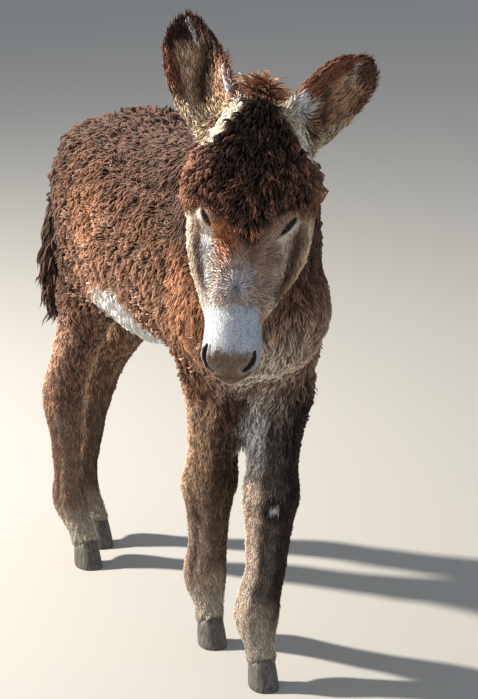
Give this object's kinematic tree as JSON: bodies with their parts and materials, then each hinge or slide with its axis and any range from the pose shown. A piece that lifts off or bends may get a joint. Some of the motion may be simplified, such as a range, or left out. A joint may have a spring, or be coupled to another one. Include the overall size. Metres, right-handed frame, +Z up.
{
  "type": "donkey foal",
  "caption": "Life-size still model of a curly-coated brown donkey foal, standing with its left foreleg forward and its head lowered and turned to its right.",
  "frame": {"origin": "on the floor, under the middle of the whole animal", "axes": "+Z up, the animal facing -Y, its own left at +X"},
  "size_m": [0.334, 1.083, 1.0794],
  "materials": {
    "coat_brown": "thick wavy woolly coat, dark chocolate brown with rust highlights and a cream belly",
    "coat_face": "short face hair, brown with pale eye rings and a grey-white muzzle, under a dark woolly forelock",
    "coat_ear": "dark red-brown rims and backs, cream hair inside",
    "coat_leg": "short dense hair, brown outside and grey-beige inside and below",
    "tail_hair": "long dark brush hair",
    "hoof_horn": "matt grey horn with growth rings",
    "eye": "wet dark brown eye"
  },
  "bodies": {
    "root": {"trunk": "coat_brown", "neck": "coat_brown", "head": "coat_face", "eye_left": "eye", "eye_right": "eye", "ear_left": "coat_ear", "ear_right": "coat_ear", "tail": "tail_hair", "leg_front_left": "coat_leg", "leg_front_right": "coat_leg", "leg_hind_left": "coat_leg", "leg_hind_right": "coat_leg", "hoof_front_left": "hoof_horn", "hoof_front_right": "hoof_horn", "hoof_hind_left": "hoof_horn", "hoof_hind_right": "hoof_horn"}
  },
  "joints": []
}
